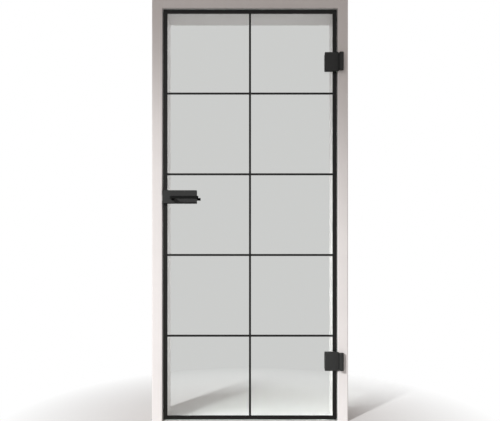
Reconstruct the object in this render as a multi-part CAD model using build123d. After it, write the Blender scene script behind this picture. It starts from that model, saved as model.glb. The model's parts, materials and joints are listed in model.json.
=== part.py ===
from build123d import *

import os

# A framed all-glass interior door: X across, hinges at +X, Z up from the finished floor.
# Y runs from the viewer into the wall, with 0 at the front face of the casing.

# Glass leaf and the gaps round it
leaf_width = 834.0
leaf_height = 1972.0
glass_thickness = 8.0
glass_arris = 0.8
glass_setback = 11.0
edge_gap = 3.5
floor_gap = 6.5

# Printed grid on the front of the glass
border_width = 20.0
bar_width = 10.0
print_thickness = 0.2
print_gap = 0.05
grid_columns = 2
grid_rows = 5

# Frame: casings on both wall faces, lining through the wall
casing_face = 50.0
casing_thickness = 24.0
back_casing_thickness = 16.0
rebate_step = 15.0
lining_thickness = 22.0
wall_thickness = 145.0
outer_round = 6.0
inner_round = 5.0
tongue_thickness = 3.0
tongue_length = 8.0
back_tongue_thickness = 6.0
back_tongue_length = 20.0
joint_clearance = 0.2

# Seal in the rebate
seal_width = 8.0
seal_wall = 1.1
seal_hollow = 4.7
seal_stem = 2.6
seal_stem_depth = 6.0
seal_touch_gap = 0.3

# Dowels across the lining's mitres
dowel_radius = 4.0
dowel_length = 20.0
dowel_spacing = 60.0

# Hinges: their centres from the leaf's top and foot, then the barrel
upper_hinge_drop = 254.5
lower_hinge_rise = 282.5
barrel_radius = 11.0
barrel_height = 84.0
barrel_offset = 16.0
outer_knuckle = 19.5
cap_thickness = 2.0
cap_spigot_length = 4.0
cap_round = 1.0
pin_radius = 4.0
bush_wall = 2.0
bush_length = 12.0
bush_flange = 1.0
bush_flange_margin = 0.5
knuckle_end_gap = 0.2
running_clearance = 0.05
press_clearance = 0.02
body_gap = 0.5

# Hinge frame part and its receiver in the casing
frame_plate_thickness = 3.0
stud_radius = 4.5
stud_length = 18.0
stud_spacing = 66.0
receiver_width = 14.0
receiver_depth = 12.0
receiver_height = 86.0

# Hinge clamp on the glass
clamp_height = 90.0
clamp_on_glass = 58.0
clamp_lip = 8.0
clamp_lip_thickness = 4.5
clamp_edge_round = 1.5
back_clamp_width = 44.0
back_clamp_height = 78.0
back_clamp_thickness = 7.0
gasket_thickness = 1.0
gasket_inset = 1.0
clamp_screw_radius = 3.0
clamp_screw_head = 6.0
clamp_screw_depth = 11.0
clamp_screw_inset = 36.0
clamp_screw_spacing = 50.0
socket_radius = 2.0
socket_depth = 2.5
socket_sides = 6
sleeve_wall = 3.5
sleeve_clearance = 0.1

# Lock case on the glass
lock_height = 1077.0
lock_length = 163.0
lock_overhang = 2.0
lock_tall = 63.0
lock_depth = 19.0
lock_wall = 2.5
lock_edge_round = 2.0
lock_back_clearance = 2.5
lock_back_plate_thickness = 3.0
lock_cover_depth = 7.0
lock_cover_wall = 2.0
lock_gasket_width = 5.0
forend_tall = 28.0
forend_thickness = 2.5
forend_clearance = 0.3
notch_depth = 27.0
notch_round = 5.0

# Bolts through the lock
bolt_radius = 2.5
bolt_head_radius = 4.2
bolt_head_height = 3.0
bolt_boss_wall = 2.0
bolt_end_gap = 2.5
bolt_far_inset = 22.0
bolt_far_spacing = 36.0
bolt_near_reach = 20.0
bolt_near_drop = 24.0
bolt_sleeve_radius = 5.9
bolt_sleeve_wall = 3.2

# Lever, spindle and follower
backset = 47.0
lever_drop = 6.0
lever_reach = 127.0
lever_projection = 50.0
lever_bar_tall = 13.0
lever_bar_depth = 10.0
lever_neck_width = 16.0
lever_elbow_round = 8.0
lever_crook_round = 4.0
lever_edge_round = 1.5
lever_collar_radius = 10.0
lever_collar_length = 6.0
lever_face_gap = 0.4
spindle_side = 8.0
spindle_clearance = 0.1
spindle_end_wall = 8.0
grub_radius = 2.0
grub_length = 5.5
follower_radius = 8.0
follower_hole_radius = 11.0
follower_end_gap = 0.3
follower_arm_reach = 20.0
follower_arm_width = 6.0

# Latch bolt
latch_throw = 12.0
latch_front = 7.0
latch_thickness = 7.0
latch_tall = 20.0
latch_head_length = 24.0
latch_tip = 1.5
latch_bevel_length = 10.5
latch_plate_front = 4.5
latch_plate_thickness = 5.0
latch_plate_below = 13.0
latch_plate_above = 26.0
latch_tail = 35.0
latch_window_margin = 1.5
latch_tooth_foot = 10.5
latch_tooth_gap = 0.4
latch_window_above = 22.5
guide_pin_radius = 3.0
guide_pin_reach = 26.0
guide_pin_drop = 2.0
guide_clearance = 0.3

# Springs in the lock
latch_spring_radius = 2.75
latch_spring_wire = 0.5
latch_spring_turns = 7
latch_spring_length = 34.0
latch_spring_rise = 14.0
spring_rest_gap = 0.1
spring_rib_thickness = 3.0
spring_rib_tall = 12.0
lever_spring_radius = 9.8
lever_spring_wire = 0.7
lever_spring_turns = 3
lever_spring_pitch = 1.6
wire_sides = 8
runs_per_turn = 14

# Strike plate in the lock side casing
strike_width = 17.0
strike_tall = 120.0
strike_thickness = 2.0
strike_inset = 5.3
strike_end_round = 4.0
strike_clearance = 0.5
strike_pocket_depth = 14.0
strike_screw_spacing = 90.0
strike_screw_radius = 1.8
strike_screw_head = 3.8
strike_screw_length = 18.0

# One overrun for every cut
overrun = 2.0

# Places worked out from the sizes above
leaf_half = leaf_width / 2
leaf_top = floor_gap + leaf_height
rebate_half = leaf_half + edge_gap
rebate_top = leaf_top + edge_gap
passage_half = rebate_half - rebate_step
passage_top = rebate_top - rebate_step
outer_half = rebate_half + casing_face
outer_top = rebate_top + casing_face
outer_reach = rebate_step + casing_face
wall_front = casing_thickness
wall_back = wall_front + wall_thickness
frame_back = wall_back + back_casing_thickness
glass_front = glass_setback
glass_back = glass_front + glass_thickness
front_gasket_face = glass_front - gasket_thickness
back_gasket_face = glass_back + gasket_thickness
seal_center = rebate_step / 2
tongue_end = lining_thickness - joint_clearance
tongue_span = (tongue_end - tongue_thickness, tongue_end)
back_tongue_span = (lining_thickness - back_tongue_thickness, lining_thickness)

axis_x = rebate_half + barrel_offset
axis_y = -(barrel_radius + frame_plate_thickness + body_gap)
clamp_back = -(frame_plate_thickness + body_gap)
clamp_face = clamp_back - clamp_lip_thickness
clamp_start = leaf_half - clamp_on_glass
back_clamp_end = clamp_start + back_clamp_width
clamp_screw_x = leaf_half - clamp_screw_inset
sleeve_radius = clamp_screw_radius + sleeve_wall

lock_left = -(leaf_half + lock_overhang)
lock_right = lock_left + lock_length
lock_rear = front_gasket_face
lock_face = lock_rear - lock_depth
lock_inner = lock_face + lock_wall
lock_low = lock_height - lock_tall / 2
lock_high = lock_height + lock_tall / 2
lock_back_left = -(passage_half - lock_back_clearance)
lock_plate_back = back_gasket_face + lock_back_plate_thickness
lock_cover_back = lock_plate_back + lock_cover_depth
spindle_x = -(leaf_half - backset)
spindle_z = lock_height - lever_drop
latch_back = latch_front + latch_thickness
latch_plate_back = latch_plate_front + latch_plate_thickness
latch_tail_end = spindle_x + latch_tail
guide_pin_x = spindle_x + guide_pin_reach
guide_pin_z = spindle_z - guide_pin_drop
spring_rib_x = latch_tail_end + latch_spring_length + spring_rest_gap

bolt_places = [
    (lock_right - bolt_far_inset, lock_height + bolt_far_spacing / 2),
    (lock_right - bolt_far_inset, lock_height - bolt_far_spacing / 2),
    (spindle_x + bolt_near_reach, lock_height - bolt_near_drop),
]
hinge_heights = {"upper": leaf_top - upper_hinge_drop, "lower": floor_gap + lower_hinge_rise}
screw_shifts = (-clamp_screw_spacing / 2, clamp_screw_spacing / 2)

right_mitre = Plane(origin=(passage_half, 0, passage_top), z_dir=(-1, 0, 1))
left_mitre = Plane(origin=(-passage_half, 0, passage_top), z_dir=(1, 0, 1))


def block(x_span, y_span, z_span):
    """A box between two values on each axis."""
    spans = (x_span, y_span, z_span)
    sizes = [high - low for low, high in spans]
    middle = [(high + low) / 2 for low, high in spans]
    return Pos(*middle) * Box(*sizes)


def rect(u_span, v_span):
    """A rectangle between two values on each sketch axis."""
    width = u_span[1] - u_span[0]
    height = v_span[1] - v_span[0]
    return Pos((u_span[0] + u_span[1]) / 2, (v_span[0] + v_span[1]) / 2) * Rectangle(width, height)


def rod(radius, start, end):
    """A round bar from one point to another."""
    run = Vector(*end) - Vector(*start)
    seat = Plane(origin=start, z_dir=run)
    return seat * Cylinder(radius, run.length, align=(Align.CENTER, Align.CENTER, Align.MIN))


def cone(start_radius, end_radius, start, end):
    """A tapered round bar from one point to another."""
    run = Vector(*end) - Vector(*start)
    seat = Plane(origin=start, z_dir=run)
    base = (Align.CENTER, Align.CENTER, Align.MIN)
    return seat * Cone(start_radius, end_radius, run.length, align=base)


def round_corner(sketch, corner, radius):
    """The sketch with the corner nearest to a point rounded."""
    return fillet(sketch.vertices().sort_by_distance((*corner, 0))[:1], radius)


def around(value, size):
    """The span of a size centred on a value."""
    return (value - size / 2, value + size / 2)


def grown(span, margin):
    """A span widened by a margin at both ends."""
    return (span[0] - margin, span[1] + margin)


# Frame


def jamb(section):
    """The +X upright with this section, mitred at its top."""
    post = extrude(Pos(passage_half, 0) * section, amount=outer_top)
    return split(post, bisect_by=right_mitre, keep=Keep.BOTTOM)


def head(section):
    """The top member with this section, mitred at both ends."""
    seat = Plane(origin=(outer_half, 0, passage_top), x_dir=(0, 0, 1), z_dir=(-1, 0, 0))
    beam = extrude(seat * section, amount=outer_half + outer_half)
    beam = split(beam, bisect_by=right_mitre, keep=Keep.TOP)
    return split(beam, bisect_by=left_mitre, keep=Keep.TOP)


def lining_section():
    """Board through the wall: u from the passage face outwards, v into the wall."""
    board = rect((0, lining_thickness), (wall_front, wall_back))
    board += rect(tongue_span, (wall_front - tongue_length, wall_front))
    stem = grown(around(seal_center, seal_stem), joint_clearance)
    board -= rect(stem, (wall_front - overrun, wall_front + seal_stem_depth + joint_clearance))
    slot = (back_tongue_span[0] - joint_clearance, lining_thickness + overrun)
    slot_floor = wall_back - back_tongue_length - joint_clearance
    return board - rect(slot, (slot_floor, wall_back + overrun))


def front_casing_section():
    """Casing that forms the rebate, grooved for the lining's tongue."""
    board = rect((rebate_step, outer_reach), (0, casing_thickness))
    board = round_corner(board, (outer_reach, 0), outer_round)
    board = round_corner(board, (rebate_step, 0), inner_round)
    groove_floor = casing_thickness - tongue_length - joint_clearance
    return board - rect(grown(tongue_span, joint_clearance), (groove_floor, casing_thickness + overrun))


def back_casing_section():
    """Casing on the far wall face, with the tongue that slides behind the lining."""
    board = rect((0, outer_reach), (wall_back, frame_back))
    board = round_corner(board, (outer_reach, frame_back), outer_round)
    board = round_corner(board, (0, frame_back), inner_round)
    return board + rect(back_tongue_span, (wall_back - back_tongue_length, wall_back))


def bulb(width, front, base):
    """A half round face on the rebate floor."""
    low = (seal_center - width / 2, base)
    high = (seal_center + width / 2, base)
    arch = ThreePointArc(low, (seal_center, front), high)
    return make_face([arch, Line(high, low)])


def seal_section():
    """Hollow bulb seal on a stem."""
    crown = glass_back + seal_touch_gap
    outer = bulb(seal_width, crown, wall_front)
    hollow = bulb(seal_hollow, crown + seal_wall, wall_front - seal_wall)
    stem = rect(around(seal_center, seal_stem), (wall_front, wall_front + seal_stem_depth))
    return outer - hollow + stem


def dowel(side, depth):
    """One dowel, square to the mitre, in the middle of the lining."""
    inset = lining_thickness / 2
    middle = Vector(side * (passage_half + inset), depth, passage_top + inset)
    reach = Vector(-side, 0, 1).normalized() * (dowel_length / 2)
    return rod(dowel_radius, middle - reach, middle + reach)


def frame_parts():
    """The nine boards, the seals and the dowels, before the fittings are let in."""
    sections = {
        "lining": lining_section(),
        "casing": front_casing_section(),
        "back_casing": back_casing_section(),
        "seal": seal_section(),
    }
    made = {}
    for piece, section in sections.items():
        upright = jamb(section)
        made[f"hinge_side_{piece}"] = upright
        made[f"lock_side_{piece}"] = mirror(upright, about=Plane.YZ)
        made[f"head_{piece}"] = head(section)
    depths = around((wall_front + wall_back) / 2, dowel_spacing)
    dowels = [dowel(side, depth) for side in (1, -1) for depth in depths]
    for board in ("hinge_side_lining", "lock_side_lining", "head_lining"):
        made[board] = made[board] - dowels
    made["corner_dowels"] = Compound(children=dowels)
    return made


# Strike plate

latch_span_y = (latch_front, latch_back)
latch_span_z = around(spindle_z, latch_tall)
strike_x = -rebate_half
strike_span_x = (strike_x - strike_thickness, strike_x)
strike_hole_y = grown(latch_span_y, strike_clearance)
strike_hole_z = grown(latch_span_z, strike_clearance)
strike_span_y = (strike_inset, strike_inset + strike_width)
strike_screw_y = sum(strike_span_y) / 2
strike_screw_z = around(spindle_z, strike_screw_spacing)


def strike_screw(height):
    """Countersunk wood screw through the strike plate."""
    face = (strike_x, strike_screw_y, height)
    seat = (strike_x - strike_thickness, strike_screw_y, height)
    point = (strike_x - strike_screw_length, strike_screw_y, height)
    screw = cone(strike_screw_head, strike_screw_radius, face, seat) + rod(strike_screw_radius, seat, point)
    recess = (strike_x - strike_thickness / 2, strike_screw_y, height)
    return screw - rod(strike_screw_radius / 2, recess, (strike_x + overrun, strike_screw_y, height))


def strike_plate():
    """Flat plate with rounded ends, the latch hole and two countersinks."""
    plate = block(strike_span_x, strike_span_y, around(spindle_z, strike_tall))
    plate = fillet(plate.edges().filter_by(Axis.X), strike_end_round)
    seat = plate
    plate = plate - block(grown(strike_span_x, overrun), strike_hole_y, strike_hole_z)
    for height in strike_screw_z:
        plate -= cone(
            strike_screw_head,
            strike_screw_radius,
            (strike_span_x[1], strike_screw_y, height),
            (strike_span_x[0], strike_screw_y, height),
        )
    return plate, seat


def let_in_strike(made):
    """Recess, pocket and screw holes in the lock side casing, then the strike itself."""
    plate, seat = strike_plate()
    pocket_x = (strike_x - strike_thickness - strike_pocket_depth, strike_x)
    casing = made["lock_side_casing"] - seat - block(pocket_x, strike_hole_y, strike_hole_z)
    screws = [strike_screw(height) for height in strike_screw_z]
    point = strike_x - strike_screw_length
    for height in strike_screw_z:
        casing -= rod(
            strike_screw_radius,
            (strike_x, strike_screw_y, height),
            (point, strike_screw_y, height),
        )
    made["lock_side_casing"] = casing
    made["strike_plate"] = plate
    made["strike_screws"] = Compound(children=screws)


# Hinges


def barrel_piece(radius, low, high):
    """A round length on the hinge's axis."""
    return rod(radius, (axis_x, axis_y, low), (axis_x, axis_y, high))


def hinge_levels(center):
    """Heights of the outer knuckles' ends and of the middle knuckle's ends."""
    half = barrel_height / 2 - cap_thickness
    middle_half = half - outer_knuckle - knuckle_end_gap - bush_flange
    return {
        "foot": center - half,
        "low": center - middle_half,
        "high": center + middle_half,
        "top": center + half,
    }


def hinge_frame_part(center):
    """Back plate, two outer knuckles on bosses and two studs."""
    levels = hinge_levels(center)
    across = around(axis_x, barrel_radius + barrel_radius)
    part = block(across, (-frame_plate_thickness, 0), (levels["foot"], levels["top"]))
    for start in (levels["foot"], levels["top"] - outer_knuckle):
        end = start + outer_knuckle
        part += block(across, (axis_y, 0), (start, end)) + barrel_piece(barrel_radius, start, end)
    for height in around(center, stud_spacing):
        part += rod(stud_radius, (axis_x, 0, height), (axis_x, stud_length, height))
    bore = pin_radius + press_clearance
    return part - barrel_piece(bore, levels["foot"] - overrun, levels["top"] + overrun)


def hinge_receiver(center):
    """Steel block in the casing's back that takes the studs."""
    deep = (casing_thickness - receiver_depth, casing_thickness)
    part = block(around(axis_x, receiver_width), deep, around(center, receiver_height))
    for height in around(center, stud_spacing):
        part -= rod(stud_radius + press_clearance, (axis_x, 0, height), (axis_x, stud_length, height))
    return part


def hinge_cap(center, side):
    """Domed cap with a spigot in the end of the barrel."""
    seat = center + side * (barrel_height / 2 - cap_thickness)
    rim = seat + side * cap_thickness
    disc = rod(barrel_radius, (axis_x, axis_y, seat), (axis_x, axis_y, rim))
    rim_edges = disc.edges().filter_by(GeomType.CIRCLE).sort_by_distance((axis_x, axis_y, rim))[:1]
    disc = fillet(rim_edges, cap_round)
    return disc + rod(pin_radius, (axis_x, axis_y, seat), (axis_x, axis_y, seat - side * cap_spigot_length))


def hinge_bush(center, side):
    """Flanged bush between the pin and the middle knuckle."""
    levels = hinge_levels(center)
    seat = levels["high"] if side > 0 else levels["low"]
    inner = (axis_x, axis_y, seat - side * bush_length)
    outer = (axis_x, axis_y, seat + side * bush_flange)
    sleeve = rod(pin_radius + bush_wall, inner, outer)
    sleeve += rod(barrel_radius - bush_flange_margin, (axis_x, axis_y, seat), outer)
    return sleeve - barrel_piece(pin_radius + running_clearance, levels["foot"], levels["top"])


def hinge_clamp(center):
    """Cast clamp: block on the glass, lip over the casing's edge and middle knuckle."""
    lip_end = leaf_half + clamp_lip
    outline = Polyline(
        (clamp_start, front_gasket_face),
        (clamp_start, clamp_face),
        (lip_end, clamp_face),
        (lip_end, clamp_back),
        (leaf_half, clamp_back),
        (leaf_half, front_gasket_face),
        close=True,
    )
    body = extrude(make_face(outline), amount=clamp_height / 2, both=True)
    body = Pos(0, 0, center) * body
    front_edges = body.faces().sort_by(Axis.Y)[0].edges()
    body = fillet(front_edges, clamp_edge_round)
    levels = hinge_levels(center)
    middle = (levels["low"], levels["high"])
    body += block((leaf_half, axis_x), (clamp_face, clamp_back), middle)
    body += barrel_piece(barrel_radius, *middle)
    body -= barrel_piece(pin_radius + bush_wall + press_clearance, *grown(middle, overrun))
    for shift in screw_shifts:
        mouth = (clamp_screw_x, front_gasket_face + overrun, center + shift)
        floor = (clamp_screw_x, front_gasket_face - clamp_screw_depth - overrun, center + shift)
        body -= rod(clamp_screw_radius, mouth, floor)
    return body


def hinge_back_plate(center):
    """Counter plate on the far side of the glass, countersunk for the screws."""
    across = (clamp_start, back_clamp_end)
    deep = (back_gasket_face, back_gasket_face + back_clamp_thickness)
    plate = block(across, deep, around(center, back_clamp_height))
    plate = fillet(plate.faces().sort_by(Axis.Y)[-1].edges(), clamp_edge_round)
    for shift in screw_shifts:
        plate -= clamp_screw(center + shift, False)
    return plate


def clamp_screw(height, with_socket):
    """Countersunk screw from the counter plate through the glass into the clamp."""
    head = (clamp_screw_x, back_gasket_face + back_clamp_thickness, height)
    neck = (clamp_screw_x, head[1] - (clamp_screw_head - clamp_screw_radius), height)
    point = (clamp_screw_x, front_gasket_face - clamp_screw_depth, height)
    screw = cone(clamp_screw_head, clamp_screw_radius, head, neck) + rod(clamp_screw_radius, neck, point)
    if with_socket:
        floor = head[1] - socket_depth
        seat = Plane(origin=(clamp_screw_x, floor, height), z_dir=(0, 1, 0))
        screw -= extrude(seat * RegularPolygon(socket_radius, socket_sides), amount=socket_depth + overrun)
    return screw


def hinge_gasket(center, end, tall, deep):
    """Soft sheet between a clamp plate and the glass."""
    across = (clamp_start + gasket_inset, end - gasket_inset)
    sheet = block(across, deep, grown(around(center, tall), -gasket_inset))
    for shift in screw_shifts:
        height = center + shift
        sheet -= rod(
            clamp_screw_radius + sleeve_clearance,
            (clamp_screw_x, deep[0] - overrun, height),
            (clamp_screw_x, deep[1] + overrun, height),
        )
    return sheet


def glass_sleeve(outer, inner, place):
    """Tube that keeps a screw off the glass."""
    x, z = place
    tube = rod(outer, (x, glass_front, z), (x, glass_back, z))
    return tube - rod(inner, (x, glass_front - overrun, z), (x, glass_back + overrun, z))


def add_hinge(made, name, center):
    """All pieces of one hinge, and its seats in the casing."""
    levels = hinge_levels(center)
    deep = (casing_thickness - receiver_depth, casing_thickness + overrun)
    casing = made["hinge_side_casing"]
    casing -= block(around(axis_x, receiver_width), deep, around(center, receiver_height))
    for height in around(center, stud_spacing):
        start = (axis_x, -overrun, height)
        casing -= rod(stud_radius + press_clearance, start, (axis_x, stud_length, height))
    made["hinge_side_casing"] = casing
    spigot = cap_spigot_length + press_clearance
    places = [(clamp_screw_x, center + shift) for shift in screw_shifts]
    bore = clamp_screw_radius + sleeve_clearance
    sleeves = [glass_sleeve(sleeve_radius, bore, place) for place in places]
    gaskets = [
        hinge_gasket(center, leaf_half, clamp_height, (front_gasket_face, glass_front)),
        hinge_gasket(center, back_clamp_end, back_clamp_height, (glass_back, back_gasket_face)),
    ]
    caps = [hinge_cap(center, side) for side in (1, -1)]
    bushes = [hinge_bush(center, side) for side in (1, -1)]
    screws = [clamp_screw(height, True) for x, height in places]
    pin_span = grown((levels["foot"], levels["top"]), -spigot)
    made[f"{name}_hinge_frame_part"] = hinge_frame_part(center)
    made[f"{name}_hinge_receiver"] = hinge_receiver(center)
    made[f"{name}_hinge_pin"] = barrel_piece(pin_radius, *pin_span)
    made[f"{name}_hinge_caps"] = Compound(children=caps)
    made[f"{name}_hinge_bushes"] = Compound(children=bushes)
    made[f"{name}_hinge_clamp"] = hinge_clamp(center)
    made[f"{name}_hinge_back_plate"] = hinge_back_plate(center)
    made[f"{name}_hinge_gaskets"] = Compound(children=gaskets)
    made[f"{name}_hinge_screws"] = Compound(children=screws)
    made[f"{name}_hinge_sleeves"] = Compound(children=sleeves)


# Glass and print


def leaf_face():
    """Outline of the leaf, X by Z."""
    return rect((-leaf_half, leaf_half), (floor_gap, leaf_top))


def notch_face(margin):
    """Notch in the glass edge for the forend and the latch."""
    inner = -leaf_half + notch_depth + margin
    width = notch_depth + notch_depth + margin
    shape = RectangleRounded(width, forend_tall + forend_clearance + forend_clearance, notch_round)
    return Pos(inner - width / 2, spindle_z) * shape


def glass_pane():
    """Toughened pane with its notch, holes and ground edges."""
    face = leaf_face() - notch_face(0)
    face -= Pos(spindle_x, spindle_z) * Circle(follower_hole_radius)
    face -= [Pos(*place) * Circle(bolt_sleeve_radius + sleeve_clearance) for place in bolt_places]
    for center in hinge_heights.values():
        for shift in screw_shifts:
            face -= Pos(clamp_screw_x, center + shift) * Circle(sleeve_radius + sleeve_clearance)
    pane = extrude(Plane.XZ.offset(-glass_back) * face, amount=glass_thickness)
    faces = pane.faces().sort_by(Axis.Y)
    return chamfer(faces[0].edges() + faces[-1].edges(), glass_arris)


def grid_print():
    """Black border and bars, left off where the fittings' gaskets bear on the glass."""
    across = grown((-leaf_half, leaf_half), -glass_arris)
    field = rect(across, grown((floor_gap, leaf_top), -glass_arris))
    clear_width = leaf_width - border_width - border_width
    clear_height = leaf_height - border_width - border_width
    pane_width = (clear_width - (grid_columns - 1) * bar_width) / grid_columns
    pane_height = (clear_height - (grid_rows - 1) * bar_width) / grid_rows
    places = GridLocations(pane_width + bar_width, pane_height + bar_width, grid_columns, grid_rows)
    middle = Pos(0, floor_gap + leaf_height / 2)
    field -= [middle * place * Rectangle(pane_width, pane_height) for place in places]
    for center in hinge_heights.values():
        field -= rect((clamp_start, leaf_half + overrun), around(center, clamp_height))
    field -= rect((lock_left, lock_right), (lock_low, lock_high))
    return extrude(Plane.XZ.offset(print_gap - glass_front) * field, amount=print_thickness)


# Lock


def lock_case():
    """Shell on the front of the glass, open towards it, with bosses, guide pin and spring rib."""
    tall = (lock_low, lock_high)
    shell = block((lock_left, lock_right), (lock_face, lock_rear), tall)
    shell = fillet(shell.faces().sort_by(Axis.Y)[0].edges(), lock_edge_round)
    across = (lock_left + lock_wall, lock_right - lock_wall)
    shell -= block(across, (lock_inner, lock_rear + overrun), grown(tall, -lock_wall))
    window_z = grown(around(spindle_z, forend_tall), joint_clearance)
    shell -= block((lock_left - overrun, across[0] + overrun), (lock_inner, lock_rear + overrun), window_z)
    shell -= rod(
        follower_radius + running_clearance,
        (spindle_x, lock_face - overrun, spindle_z),
        (spindle_x, lock_inner + overrun, spindle_z),
    )
    for x, z in bolt_places:
        shell += rod(bolt_radius + bolt_boss_wall, (x, lock_inner, z), (x, lock_rear, z))
        shell -= rod(bolt_radius, (x, lock_inner, z), (x, lock_rear, z))
    shell += rod(
        guide_pin_radius,
        (guide_pin_x, lock_inner, guide_pin_z),
        (guide_pin_x, latch_plate_back, guide_pin_z),
    )
    rib_z = around(spindle_z + latch_spring_rise, spring_rib_tall)
    rib_x = (spring_rib_x, spring_rib_x + spring_rib_thickness)
    return shell + block(rib_x, (lock_inner, lock_rear), rib_z)


def lock_forend():
    """Plate at the leaf's edge with the latch hole."""
    across = (lock_left, lock_left + forend_thickness)
    deep = (lock_inner + joint_clearance, glass_back - joint_clearance)
    plate = block(across, deep, around(spindle_z, forend_tall))
    hole_y = grown(latch_span_y, forend_clearance)
    return plate - block(grown(across, overrun), hole_y, grown(latch_span_z, forend_clearance))


def lock_gasket(left, deep):
    """Ring of soft sheet under the rim of the case or of the back plate."""
    across = (left + gasket_inset, lock_right - gasket_inset)
    tall = grown((lock_low, lock_high), -gasket_inset)
    ring = block(across, deep, tall)
    through = grown(deep, overrun)
    ring -= block(grown(across, -lock_gasket_width), through, grown(tall, -lock_gasket_width))
    for x, z in bolt_places:
        ring -= rod(bolt_radius + sleeve_clearance, (x, through[0], z), (x, through[1], z))
    notch_x = (left - overrun, -leaf_half + notch_depth)
    return ring - block(notch_x, through, grown(around(spindle_z, forend_tall), forend_clearance))


def bolt(place):
    """Cap screw through the back plate, the glass and into its boss."""
    x, z = place
    head_top = lock_plate_back + bolt_head_height
    screw = rod(bolt_radius, (x, lock_inner + bolt_end_gap, z), (x, lock_plate_back, z))
    screw += rod(bolt_head_radius, (x, lock_plate_back, z), (x, head_top, z))
    seat = Plane(origin=(x, lock_plate_back + bolt_head_height / 2, z), z_dir=(0, 1, 0))
    return screw - extrude(seat * RegularPolygon(socket_radius, socket_sides), amount=bolt_head_height)


def lock_back_plate():
    """Plate behind the glass that carries the follower's far end and the bolts."""
    deep = (back_gasket_face, lock_plate_back)
    plate = block((lock_back_left, lock_right), deep, (lock_low, lock_high))
    holes = [(spindle_x, spindle_z, follower_radius + running_clearance)]
    holes += [(x, z, bolt_radius) for x, z in bolt_places]
    for x, z, radius in holes:
        plate -= rod(radius, (x, deep[0] - overrun, z), (x, deep[1] + overrun, z))
    return plate


def lock_back_cover():
    """Hollow cover over the bolt heads."""
    across = (lock_back_left, lock_right)
    tall = (lock_low, lock_high)
    cover = block(across, (lock_plate_back, lock_cover_back), tall)
    cover = fillet(cover.faces().sort_by(Axis.Y)[-1].edges(), lock_edge_round)
    hollow = (lock_plate_back - overrun, lock_cover_back - lock_cover_wall)
    cover -= block(grown(across, -lock_cover_wall), hollow, grown(tall, -lock_cover_wall))
    return cover - rod(
        follower_radius,
        (spindle_x, lock_plate_back, spindle_z),
        (spindle_x, lock_cover_back + overrun, spindle_z),
    )


def spindle_square(clearance, start, end):
    """Square bar on the spindle's axis."""
    side = spindle_side + clearance + clearance
    return block(around(spindle_x, side), (start, end), around(spindle_z, side))


def follower():
    """Hub with its arm, bored square for the spindle."""
    start = lock_face + follower_end_gap
    end = lock_plate_back - follower_end_gap
    hub = rod(follower_radius, (spindle_x, start, spindle_z), (spindle_x, end, spindle_z))
    hub += block(
        around(spindle_x, follower_arm_width),
        (latch_plate_front, latch_plate_back),
        (spindle_z, spindle_z + follower_arm_reach),
    )
    return hub - spindle_square(spindle_clearance, start - overrun, end + overrun)


def lever(face, outward):
    """Lever bent from flat bar, on a round collar; outward is -1 at the front and 1 behind."""
    near = face + outward * lever_face_gap
    collar_end = near + outward * lever_collar_length
    back = face + outward * (lever_projection - lever_bar_depth)
    front = face + outward * lever_projection
    heel = spindle_x - lever_neck_width / 2
    throat = spindle_x + lever_neck_width / 2
    tip = spindle_x + lever_reach
    outline = Polyline(
        (heel, collar_end),
        (heel, front),
        (tip, front),
        (tip, back),
        (throat, back),
        (throat, collar_end),
        close=True,
    )
    shape = make_face(outline)
    shape = round_corner(shape, (heel, front), lever_elbow_round)
    shape = round_corner(shape, (throat, back), lever_crook_round)
    bar = Pos(0, 0, spindle_z) * extrude(shape, amount=lever_bar_tall / 2, both=True)
    long_edges = bar.faces().sort_by(Axis.Z)[-1].edges() + bar.faces().sort_by(Axis.Z)[0].edges()
    seat_edges = long_edges.filter_by(lambda edge: abs(edge.center().Y - collar_end) < lever_edge_round)
    bar = fillet([edge for edge in long_edges if edge not in seat_edges], lever_edge_round)
    bar += rod(lever_collar_radius, (spindle_x, near, spindle_z), (spindle_x, collar_end, spindle_z))
    bore = sorted((near - outward * overrun, spindle_end(face, outward)))
    bar -= spindle_square(spindle_clearance, *bore)
    return bar - grub_screw(face, outward)


def spindle_end(face, outward):
    """Depth that the spindle reaches in a lever."""
    return face + outward * (lever_projection - lever_bar_depth - spindle_end_wall)


def grub_screw(face, outward):
    """Grub screw in a lever's collar, from below onto the spindle."""
    depth = face + outward * (lever_face_gap + lever_collar_length / 2)
    top = spindle_z - spindle_side / 2
    return rod(grub_radius, (spindle_x, depth, top), (spindle_x, depth, top - grub_length))


def latch_bolt():
    """Bevelled head and a plate whose window takes the follower and its arm."""
    tip = lock_left - latch_throw
    head_end = tip + latch_head_length
    outline = Polyline(
        (tip, latch_front),
        (tip, latch_front + latch_tip),
        (tip + latch_bevel_length, latch_back),
        (head_end, latch_back),
        (head_end, latch_front),
        close=True,
    )
    head_solid = Pos(0, 0, spindle_z) * extrude(make_face(outline), amount=latch_tall / 2, both=True)
    deep = (latch_plate_front, latch_plate_back)
    plate_x = (head_end - latch_thickness, latch_tail_end)
    plate_z = (spindle_z - latch_plate_below, spindle_z + latch_plate_above)
    reach = follower_radius + latch_window_margin
    tooth = spindle_x + follower_arm_width / 2 + latch_tooth_gap
    window_left = spindle_x - reach - latch_throw
    window_top = spindle_z + latch_window_above
    through = grown(deep, overrun)
    window_z = (spindle_z - reach, spindle_z + latch_tooth_foot)
    wide = block((window_left, spindle_x + reach), through, window_z)
    narrow = block((window_left, tooth), through, (spindle_z, window_top))
    slot = guide_pin_radius + guide_clearance
    slot_x = (guide_pin_x - latch_throw - slot, guide_pin_x + slot)
    guide = block(slot_x, through, around(guide_pin_z, slot + slot))
    return head_solid + block(plate_x, deep, plate_z) - wide - narrow - guide


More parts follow.
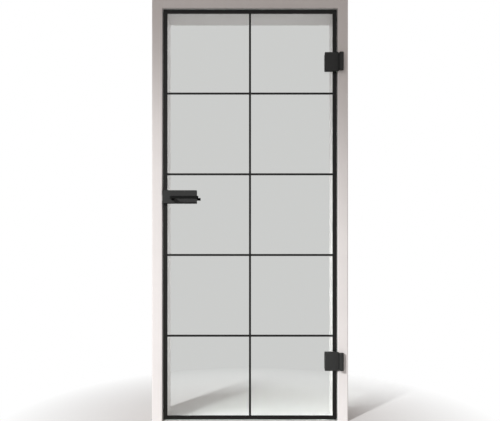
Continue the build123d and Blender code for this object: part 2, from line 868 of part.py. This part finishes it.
def coil(radius, wire, turns, pitch, start, direction):
    """A wire coil, bent in short runs."""
    curve = Helix(pitch, pitch * turns, radius, start, direction)
    runs = turns * runs_per_turn
    path = Polyline(*[curve @ (step / runs) for step in range(runs + 1)])
    section = Plane(origin=path @ 0, z_dir=path % 0) * RegularPolygon(wire, wire_sides)
    return sweep(section, path=path, transition=Transition.RIGHT)


def latch_spring():
    """Compression spring from the case's rib to the latch's tail."""
    rise = latch_spring_length - latch_spring_wire - latch_spring_wire - spring_rest_gap
    pitch = rise / latch_spring_turns
    depth = (latch_plate_front + latch_plate_back) / 2
    near = latch_tail_end + latch_spring_wire + spring_rest_gap
    start = (near, depth, spindle_z + latch_spring_rise)
    return coil(latch_spring_radius, latch_spring_wire, latch_spring_turns, pitch, start, (1, 0, 0))


def lever_spring():
    """Torsion coil round the follower."""
    start = (spindle_x, lock_inner + lever_spring_wire + spring_rest_gap, spindle_z)
    sizes = (lever_spring_radius, lever_spring_wire, lever_spring_turns, lever_spring_pitch)
    return coil(*sizes, start, (0, 1, 0))


def add_lock(made):
    """All pieces of the lock and its levers."""
    sleeve_bore = bolt_sleeve_radius - bolt_sleeve_wall
    sleeves = [glass_sleeve(bolt_sleeve_radius, sleeve_bore, place) for place in bolt_places]
    gaskets = [
        lock_gasket(-leaf_half, (lock_rear, glass_front)),
        lock_gasket(lock_back_left, (glass_back, back_gasket_face)),
    ]
    sides = ((lock_face, -1), (lock_cover_back, 1))
    made["lock_case"] = lock_case()
    made["lock_forend"] = lock_forend()
    made["lock_gaskets"] = Compound(children=gaskets)
    made["lock_back_plate"] = lock_back_plate()
    made["lock_back_cover"] = lock_back_cover()
    made["lock_bolts"] = Compound(children=[bolt(place) for place in bolt_places])
    made["lock_sleeves"] = Compound(children=sleeves)
    made["latch_bolt"] = latch_bolt()
    made["latch_spring"] = latch_spring()
    made["lever_spring"] = lever_spring()
    made["follower"] = follower()
    made["spindle"] = spindle_square(0, spindle_end(*sides[0]), spindle_end(*sides[1]))
    made["front_lever"] = lever(*sides[0])
    made["back_lever"] = lever(*sides[1])
    made["lever_grub_screws"] = Compound(children=[grub_screw(*side) for side in sides])


def main():
    """Build every node and write it."""
    made = frame_parts()
    let_in_strike(made)
    for name, center in hinge_heights.items():
        add_hinge(made, name, center)
    made["glass_pane"] = glass_pane()
    made["grid_print"] = grid_print()
    add_lock(made)
    os.makedirs("parts", exist_ok=True)
    for name, shape in made.items():
        export_step(shape, f"parts/{name}.step")


main()
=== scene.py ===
import json
import math

import bpy
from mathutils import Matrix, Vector


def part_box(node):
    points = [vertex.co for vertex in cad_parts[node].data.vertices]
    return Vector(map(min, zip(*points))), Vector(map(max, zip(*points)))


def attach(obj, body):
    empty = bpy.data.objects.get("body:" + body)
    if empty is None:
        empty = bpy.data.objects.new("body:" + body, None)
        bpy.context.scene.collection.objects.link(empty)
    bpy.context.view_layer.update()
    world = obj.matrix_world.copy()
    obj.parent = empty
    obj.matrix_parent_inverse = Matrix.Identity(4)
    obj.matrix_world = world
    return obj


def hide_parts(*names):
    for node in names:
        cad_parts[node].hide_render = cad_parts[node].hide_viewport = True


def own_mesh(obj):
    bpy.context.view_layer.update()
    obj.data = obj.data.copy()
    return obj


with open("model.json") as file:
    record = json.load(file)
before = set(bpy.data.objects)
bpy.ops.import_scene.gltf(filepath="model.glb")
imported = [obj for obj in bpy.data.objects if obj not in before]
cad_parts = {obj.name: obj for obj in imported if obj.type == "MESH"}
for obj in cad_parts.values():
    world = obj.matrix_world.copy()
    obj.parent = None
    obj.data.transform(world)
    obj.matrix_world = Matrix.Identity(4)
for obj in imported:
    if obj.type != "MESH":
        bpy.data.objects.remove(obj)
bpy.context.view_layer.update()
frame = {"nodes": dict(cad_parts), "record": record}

# The framed glass door, dressed. Metres, X towards the hinges, Y into the wall, Z up.

# Camera: level and square to the door, its picture shifted up
camera_distance = 2.739
camera_height = 0.85
camera_lens = 41.14
camera_shift = 0.0675
sensor_width = 36.0

# Light: a key spot high on the left, aimed low, a weak lamp behind on each side, a warm surround
key_place = (-6.0, -8.0, 6.0)
key_target = (-0.02, 0.0, 0.18)
key_cone = math.radians(15.8)
key_falloff = 1.0
key_radius = 0.35
key_power = 4700.0
back_lamp_side = 2.0
back_lamp_behind = 2.2
back_lamp_height = 1.6
back_lamp_size = 1.2
back_lamp_powers = (1.5, 9.0)
back_lamp_target = (0.0, 0.0, 1.0)
surround_colour = (1.0, 0.91, 0.86, 1.0)
surround_strength = 0.43
backdrop_white = (1.0, 1.0, 1.0, 1.0)
backdrop_through_glass = (0.615, 0.610, 0.605, 1.0)

# Floor: pale out to the inner radius, faded into the backdrop at the outer one
floor_size = 16.0
floor_inner = 0.50
floor_outer = 1.20
floor_colour = (0.71, 0.71, 0.71, 1.0)

# The latch's return spring: its wire's radius and sides, its turns, steps and smoothing angle
spring_wire = 0.0005
spring_wire_sides = 12
spring_turns = 7
spring_steps = 28
spring_smooth = math.radians(40)

# Colours of the finishes
lacquer_dark = (0.765, 0.740, 0.735, 1.0)
lacquer_light = (0.805, 0.782, 0.777, 1.0)
seal_dark = (0.32, 0.31, 0.30, 1.0)
seal_light = (0.40, 0.39, 0.38, 1.0)
beech_dark = (0.52, 0.35, 0.20, 1.0)
beech_light = (0.70, 0.52, 0.34, 1.0)
glass_clear = (0.955, 0.975, 0.965, 1.0)
glass_edge = (0.42, 0.66, 0.58, 1.0)
glass_shadow = (0.62, 0.64, 0.63, 1.0)
enamel_dark = (0.0036, 0.0032, 0.0028, 1.0)
enamel_light = (0.0062, 0.0056, 0.0050, 1.0)
graphite_dark = (0.0120, 0.0124, 0.0120, 1.0)
graphite_light = (0.0190, 0.0195, 0.0190, 1.0)
graphite_rub = (0.048, 0.049, 0.047, 1.0)
black_dark = (0.0022, 0.0024, 0.0022, 1.0)
black_light = (0.0042, 0.0045, 0.0042, 1.0)
black_rub = (0.022, 0.022, 0.021, 1.0)
nylon_dark = (0.010, 0.010, 0.010, 1.0)
nylon_light = (0.018, 0.018, 0.017, 1.0)
gasket_dark = (0.022, 0.022, 0.022, 1.0)
gasket_light = (0.045, 0.045, 0.044, 1.0)
black_steel_dark = (0.020, 0.020, 0.021, 1.0)
black_steel_light = (0.045, 0.045, 0.046, 1.0)
satin_steel_dark = (0.44, 0.44, 0.43, 1.0)
satin_steel_light = (0.58, 0.58, 0.57, 1.0)
plated_dark = (0.20, 0.205, 0.21, 1.0)
plated_light = (0.32, 0.32, 0.315, 1.0)

# The span that soft noise mostly fills
noise_start = 0.35
noise_end = 0.65

# The pane's ground edges and its clear faces: how square each is to the pane, and how rough
edge_square = 0.80
face_square = 0.95
edge_rough = 0.32
face_rough = 0.0

# Rubbed edges of the coatings: their reach, and the turn of the surface there as a cosine
rub_reach = 0.0008
rub_samples = 6
rub_full = 0.78
rub_none = 0.98


class Shading:
    """The shader tree of a material or of the surround, with its main shader and its output."""

    def __init__(self, owner, shader, output):
        owner.use_nodes = True
        self.owner = owner
        self.tree = owner.node_tree
        self.shader = self.tree.nodes[shader]
        self.output = self.tree.nodes[output]

    def node(self, kind, **values):
        """A new node with some of its input sockets set."""
        made = self.tree.nodes.new(kind)
        for name, value in values.items():
            made.inputs[name.replace("_", " ")].default_value = value
        return made

    def link(self, output, target):
        """Join an output to an input."""
        self.tree.links.new(output, target)

    def set(self, name, value):
        """Set one of the main shader's sockets."""
        self.shader.inputs[name].default_value = value

    def work(self, operation, *values, kind="ShaderNodeMath"):
        """The outcome of one operation on one or two values."""
        made = self.node(kind)
        made.operation = operation
        for value, target in zip(values, made.inputs):
            self.link(value, target)
        return made.outputs["Value"]

    def mix(self, amount, base, top):
        """One shader laid over another by an amount."""
        made = self.node("ShaderNodeMixShader")
        self.link(amount, made.inputs["Fac"])
        self.link(base, made.inputs[1])
        self.link(top, made.inputs[2])
        return made.outputs["Shader"]

    def backdrop_rays(self):
        """The rays that see the backdrop, each with the colour that it sees."""
        path = self.node("ShaderNodeLightPath")
        seen = self.work("MAXIMUM", path.outputs["Is Camera Ray"], path.outputs["Is Glossy Ray"])
        through = path.outputs["Is Transmission Ray"]
        return (seen, backdrop_white), (through, backdrop_through_glass)

    def show(self, surface):
        """Lead a shader to the output."""
        self.link(surface, self.output.inputs["Surface"])


class Finish(Shading):
    """A material under construction."""

    def __init__(self, name):
        super().__init__(bpy.data.materials.new(name), "Principled BSDF", "Material Output")

    def place(self, scale=(1.0, 1.0, 1.0)):
        """Object coordinates, stretched by a scale on each axis."""
        coordinates = self.node("ShaderNodeTexCoord")
        mapping = self.node("ShaderNodeMapping", Scale=scale)
        self.link(coordinates.outputs["Object"], mapping.inputs["Vector"])
        return mapping.outputs["Vector"]

    def noise(self, place, scale, detail):
        """Soft noise over the piece."""
        made = self.node("ShaderNodeTexNoise", Scale=scale, Detail=detail)
        self.link(place, made.inputs["Vector"])
        return made.outputs["Fac"]

    def spread(self, value, first, last, start=noise_start, end=noise_end):
        """A value between start and end, brought between first and last."""
        made = self.node("ShaderNodeMapRange", From_Min=start, From_Max=end, To_Min=first, To_Max=last)
        self.link(value, made.inputs["Value"])
        return made.outputs["Result"]

    def tint(self, value, dark, light, start=noise_start, end=noise_end):
        """A colour between two, led by a value."""
        made = self.node("ShaderNodeValToRGB")
        first, last = made.color_ramp.elements
        first.position = start
        first.color = dark
        last.position = end
        last.color = light
        self.link(value, made.inputs["Fac"])
        return made.outputs["Color"]

    def edges(self):
        """How near a sharp edge is, from 0 to 1."""
        rounded = self.node("ShaderNodeBevel", Radius=rub_reach)
        rounded.samples = rub_samples
        flat = self.node("ShaderNodeNewGeometry")
        turn = self.work(
            "DOT_PRODUCT",
            rounded.outputs["Normal"],
            flat.outputs["Normal"],
            kind="ShaderNodeVectorMath",
        )
        return self.spread(turn, first=1.0, last=0.0, start=rub_full, end=rub_none)

    def over(self, base, top, amount):
        """One colour laid over another by an amount."""
        made = self.node("ShaderNodeMix")
        made.data_type = "RGBA"
        self.link(amount, made.inputs["Factor"])
        self.link(base, made.inputs["A"])
        made.inputs["B"].default_value = top
        return made.outputs["Result"]

    def colour(self, output):
        """Lead the main shader's colour."""
        self.link(output, self.shader.inputs["Base Color"])

    def roughness(self, output):
        """Lead the main shader's roughness."""
        self.link(output, self.shader.inputs["Roughness"])

    def relief(self, value, strength, depth):
        """Bump from a value, on the main shader."""
        made = self.node("ShaderNodeBump", Strength=strength, Distance=depth)
        self.link(value, made.inputs["Height"])
        self.link(made.outputs["Normal"], self.shader.inputs["Normal"])


def white_lacquer():
    """Sprayed satin lacquer: faint orange peel, a slow drift of tone and of gloss."""
    finish = Finish("white_lacquer")
    place = finish.place()
    drift = finish.noise(place, scale=3.0, detail=4.0)
    sheen = finish.noise(place, scale=14.0, detail=5.0)
    peel = finish.noise(place, scale=340.0, detail=2.0)
    finish.colour(finish.tint(drift, lacquer_dark, lacquer_light))
    finish.roughness(finish.spread(sheen, first=0.36, last=0.48))
    finish.relief(peel, strength=0.35, depth=0.0008)
    finish.set("Specular IOR Level", 0.45)
    return finish.owner


def seal_rubber():
    """Extruded grey rubber, drawn along its length."""
    finish = Finish("seal_rubber")
    drawn = finish.place((600.0, 600.0, 4.0))
    streaks = finish.noise(drawn, scale=1.0, detail=3.0)
    sheen = finish.noise(drawn, scale=2.0, detail=2.0)
    lines = finish.noise(drawn, scale=1.5, detail=2.0)
    finish.colour(finish.tint(streaks, seal_dark, seal_light))
    finish.roughness(finish.spread(sheen, first=0.60, last=0.78))
    finish.relief(lines, strength=0.15, depth=0.0002)
    finish.set("Specular IOR Level", 0.3)
    return finish.owner


def beech():
    """Turned beech with short dark flecks along the grain."""
    finish = Finish("beech")
    grain = finish.place((90.0, 900.0, 90.0))
    flecks = finish.noise(grain, scale=3.0, detail=6.0)
    sheen = finish.noise(grain, scale=5.0, detail=3.0)
    pores = finish.noise(grain, scale=6.0, detail=4.0)
    finish.colour(finish.tint(flecks, beech_dark, beech_light))
    finish.roughness(finish.spread(sheen, first=0.5, last=0.7))
    finish.relief(pores, strength=0.2, depth=0.0003)
    return finish.owner


def clear_glass():
    """Float glass: clear faces, ground edges that show the green of the body, a pale shadow."""
    finish = Finish("clear_glass")
    coordinates = finish.node("ShaderNodeTexCoord")
    axes = finish.node("ShaderNodeSeparateXYZ")
    finish.link(coordinates.outputs["Normal"], axes.inputs["Vector"])
    square = finish.work("ABSOLUTE", axes.outputs["Y"])
    finish.colour(finish.tint(square, glass_edge, glass_clear, edge_square, face_square))
    finish.roughness(finish.spread(square, edge_rough, face_rough, edge_square, face_square))
    finish.set("Transmission Weight", 1.0)
    finish.set("IOR", 1.5)
    path = finish.node("ShaderNodeLightPath")
    glass = finish.shader.outputs["BSDF"]
    shadow = finish.node("ShaderNodeBsdfTransparent", Color=glass_shadow).outputs["BSDF"]
    finish.show(finish.mix(path.outputs["Is Shadow Ray"], glass, shadow))
    return finish.owner


def black_enamel():
    """Screen printed ink fired on the glass: near black, with the mesh's faint grain."""
    finish = Finish("black_enamel")
    place = finish.place()
    drift = finish.noise(place, scale=60.0, detail=4.0)
    sheen = finish.noise(place, scale=260.0, detail=3.0)
    mesh = finish.noise(place, scale=2200.0, detail=2.0)
    finish.colour(finish.tint(drift, enamel_dark, enamel_light))
    finish.roughness(finish.spread(sheen, first=0.38, last=0.50))
    finish.relief(mesh, strength=0.10, depth=0.0001)
    finish.set("Specular IOR Level", 0.20)
    return finish.owner


def coating(name, dark, light, rub, smooth, rough, shine):
    """Fine textured powder coat on a casting, rubbed a little paler along its edges."""
    finish = Finish(name)
    place = finish.place()
    grain = finish.noise(place, scale=900.0, detail=4.0)
    patches = finish.noise(place, scale=45.0, detail=4.0)
    sheen = finish.noise(place, scale=320.0, detail=3.0)
    texture = finish.noise(place, scale=1500.0, detail=3.0)
    rubbed = finish.work("MULTIPLY", finish.edges(), finish.spread(patches, first=0.15, last=0.6))
    finish.colour(finish.over(finish.tint(grain, dark, light), rub, rubbed))
    finish.roughness(finish.spread(sheen, first=smooth, last=rough))
    finish.relief(texture, strength=0.22, depth=0.0002)
    finish.set("Specular IOR Level", shine)
    return finish.owner


def graphite_coating():
    """The hinges and the lock case."""
    colours = (graphite_dark, graphite_light, graphite_rub)
    return coating("graphite_coating", *colours, smooth=0.66, rough=0.78, shine=0.40)


def black_coating():
    """The levers, a shade darker than the case."""
    colours = (black_dark, black_light, black_rub)
    return coating("black_coating", *colours, smooth=0.45, rough=0.57, shine=0.09)


def nylon():
    """Black nylon, slightly cloudy."""
    finish = Finish("nylon")
    place = finish.place()
    clouds = finish.noise(place, scale=120.0, detail=3.0)
    sheen = finish.noise(place, scale=400.0, detail=2.0)
    grain = finish.noise(place, scale=900.0, detail=2.0)
    finish.colour(finish.tint(clouds, nylon_dark, nylon_light))
    finish.roughness(finish.spread(sheen, first=0.42, last=0.55))
    finish.relief(grain, strength=0.08, depth=0.0002)
    finish.set("Specular IOR Level", 0.25)
    return finish.owner


def gasket_rubber():
    """Pressed fibre and rubber sheet."""
    finish = Finish("gasket_rubber")
    place = finish.place()
    fibres = finish.noise(place, scale=800.0, detail=4.0)
    sheen = finish.noise(place, scale=300.0, detail=3.0)
    grain = finish.noise(place, scale=1200.0, detail=4.0)
    finish.colour(finish.tint(fibres, gasket_dark, gasket_light))
    finish.roughness(finish.spread(sheen, first=0.75, last=0.92))
    finish.relief(grain, strength=0.3, depth=0.0003)
    finish.set("Specular IOR Level", 0.25)
    return finish.owner


def steel(name, dark, light, stretch, smooth, rough):
    """Metal with fine marks, drawn out by a stretch on each axis."""
    finish = Finish(name)
    drawn = finish.place(stretch)
    tone = finish.noise(drawn, scale=1.0, detail=5.0)
    sheen = finish.noise(drawn, scale=2.0, detail=3.0)
    marks = finish.noise(drawn, scale=1.5, detail=3.0)
    finish.colour(finish.tint(tone, dark, light))
    finish.roughness(finish.spread(sheen, first=smooth, last=rough))
    finish.relief(marks, strength=0.12, depth=0.0001)
    finish.set("Metallic", 1.0)
    return finish.owner


def black_steel():
    """Blackened screws, with marks that run no one way."""
    stretch = (700.0, 700.0, 700.0)
    return steel("black_steel", black_steel_dark, black_steel_light, stretch, smooth=0.35, rough=0.50)


def satin_steel():
    """Forend and strike, brushed up and down."""
    stretch = (1800.0, 1800.0, 14.0)
    return steel("satin_steel", satin_steel_dark, satin_steel_light, stretch, smooth=0.26, rough=0.40)


def bare_steel():
    """Inner pieces, plated a dull grey."""
    stretch = (260.0, 260.0, 260.0)
    return steel("bare_steel", plated_dark, plated_light, stretch, smooth=0.30, rough=0.48)


finishes = {
    "white_lacquer": white_lacquer,
    "seal_rubber": seal_rubber,
    "beech": beech,
    "clear_glass": clear_glass,
    "black_enamel": black_enamel,
    "graphite_coating": graphite_coating,
    "black_coating": black_coating,
    "nylon": nylon,
    "gasket_rubber": gasket_rubber,
    "black_steel": black_steel,
    "satin_steel": satin_steel,
    "bare_steel": bare_steel,
}


def dress_nodes():
    """Give every node the finish of its material slot, and return the finishes by slot."""
    materials = {slot: make() for slot, make in finishes.items()}
    for piece in frame["record"]["subparts"]:
        mesh = frame["nodes"][piece["node"]].data
        mesh.materials.clear()
        mesh.materials.append(materials[piece["material_slot"]])
    return materials


def draw_wire(name, place):
    """A ring of the spring's wire, standing across its run at a place."""
    across = (math.pi / 2, 0, 0)
    bpy.ops.object.select_all(action="DESELECT")
    bpy.ops.mesh.primitive_circle_add(vertices=spring_wire_sides, radius=spring_wire, rotation=across)
    wire = bpy.context.object
    wire.name = name
    bpy.ops.object.transform_apply(location=True, rotation=True, scale=True)
    bpy.ops.object.mode_set(mode="EDIT")
    bpy.ops.mesh.select_all(action="SELECT")
    bpy.ops.transform.translate(value=place)
    bpy.ops.object.mode_set(mode="OBJECT")
    return wire


def close_wire():
    """Cap both ends of the active wire and turn its faces outwards."""
    bpy.ops.object.mode_set(mode="EDIT")
    bpy.ops.mesh.select_all(action="SELECT")
    bpy.ops.mesh.fill_holes(sides=0)
    bpy.ops.mesh.select_all(action="SELECT")
    bpy.ops.mesh.normals_make_consistent(inside=False)
    bpy.ops.object.mode_set(mode="OBJECT")


def wind_spring(finish):
    """The latch's return spring, a round wire wound along X, carried with the leaf."""
    low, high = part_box("latch_spring")
    length = high[0] - low[0]
    radius = (high[2] - low[2]) / 2 - spring_wire
    middle = (0.0, (low[1] + high[1]) / 2, (low[2] + high[2]) / 2)
    spring = draw_wire("latch_return_spring", (low[0] + spring_wire, 0, radius))
    winding = spring.modifiers.new("winding", "SCREW")
    winding.axis = "X"
    winding.iterations = spring_turns
    winding.screw_offset = (length - 2 * spring_wire) / spring_turns
    winding.steps = spring_steps
    winding.render_steps = spring_steps
    bpy.ops.object.modifier_apply(modifier="winding")
    close_wire()
    spring.location = middle
    bpy.ops.object.transform_apply(location=True, rotation=True, scale=True)
    bpy.ops.object.shade_smooth_by_angle(angle=spring_smooth)
    spring.data.materials.append(finish)
    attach(spring, "leaf")
    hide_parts("latch_spring")
    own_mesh(spring)


def floor_finish():
    """Pale matt floor near the door that fades into the backdrop."""
    finish = Finish("pale_floor")
    distance = finish.work("LENGTH", finish.place(), kind="ShaderNodeVectorMath")
    far = finish.spread(distance, first=0.0, last=1.0, start=floor_inner, end=floor_outer)
    finish.set("Base Color", floor_colour)
    finish.set("Roughness", 0.9)
    finish.set("Specular IOR Level", 0.1)
    surface = finish.shader.outputs["BSDF"]
    for ray, colour in finish.backdrop_rays():
        glow = finish.node("ShaderNodeEmission", Color=colour).outputs["Emission"]
        surface = finish.mix(finish.work("MULTIPLY", ray, far), surface, glow)
    finish.show(surface)
    return finish.owner


def lay_floor():
    """A wide pale floor under the jambs."""
    bpy.ops.object.select_all(action="DESELECT")
    bpy.ops.mesh.primitive_plane_add(size=floor_size, location=(0, 0, 0))
    floor = bpy.context.object
    floor.name = "floor"
    floor.data.materials.append(floor_finish())


def hang_surround():
    """Soft surround light; white where it is seen, pale grey where it is seen through the glass."""
    world = bpy.data.worlds.new("surround")
    bpy.context.scene.world = world
    surround = Shading(world, "Background", "World Output")
    surround.set("Color", surround_colour)
    surround.set("Strength", surround_strength)
    surface = surround.shader.outputs["Background"]
    for ray, colour in surround.backdrop_rays():
        backdrop = surround.node("ShaderNodeBackground", Color=colour).outputs["Background"]
        surface = surround.mix(ray, surface, backdrop)
    surround.show(surface)


def hang_lamp(name, kind, place, target, power):
    """A lamp aimed at a point, not seen through the glass."""
    data = bpy.data.lights.new(name, kind)
    data.energy = power
    lamp = bpy.data.objects.new(name, data)
    bpy.context.scene.collection.objects.link(lamp)
    lamp.location = place
    away = Vector(place) - Vector(target)
    lamp.rotation_euler = away.to_track_quat("Z", "Y").to_euler()
    lamp.visible_transmission = False
    return lamp


def hang_lamps():
    """The key in front, a weak pair behind."""
    key = hang_lamp("key", "SPOT", key_place, key_target, key_power).data
    key.spot_size = key_cone
    key.spot_blend = key_falloff
    key.shadow_soft_size = key_radius
    for name, side, power in zip(("left", "right"), (-1, 1), back_lamp_powers):
        place = (side * back_lamp_side, back_lamp_behind, back_lamp_height)
        back = hang_lamp(f"back_{name}", "AREA", place, back_lamp_target, power)
        back.data.size = back_lamp_size
        back.visible_glossy = False


def set_camera():
    """Camera at the photograph's viewpoint."""
    data = bpy.data.cameras.new("camera")
    data.lens = camera_lens
    data.sensor_width = sensor_width
    data.shift_y = camera_shift
    camera = bpy.data.objects.new("camera", data)
    bpy.context.scene.collection.objects.link(camera)
    camera.location = (0, -camera_distance, camera_height)
    camera.rotation_euler = (math.pi / 2, 0, 0)
    bpy.context.scene.camera = camera


bpy.context.scene.view_settings.view_transform = "Standard"
materials = dress_nodes()
wind_spring(materials["bare_steel"])
lay_floor()
hang_surround()
hang_lamps()
set_camera()
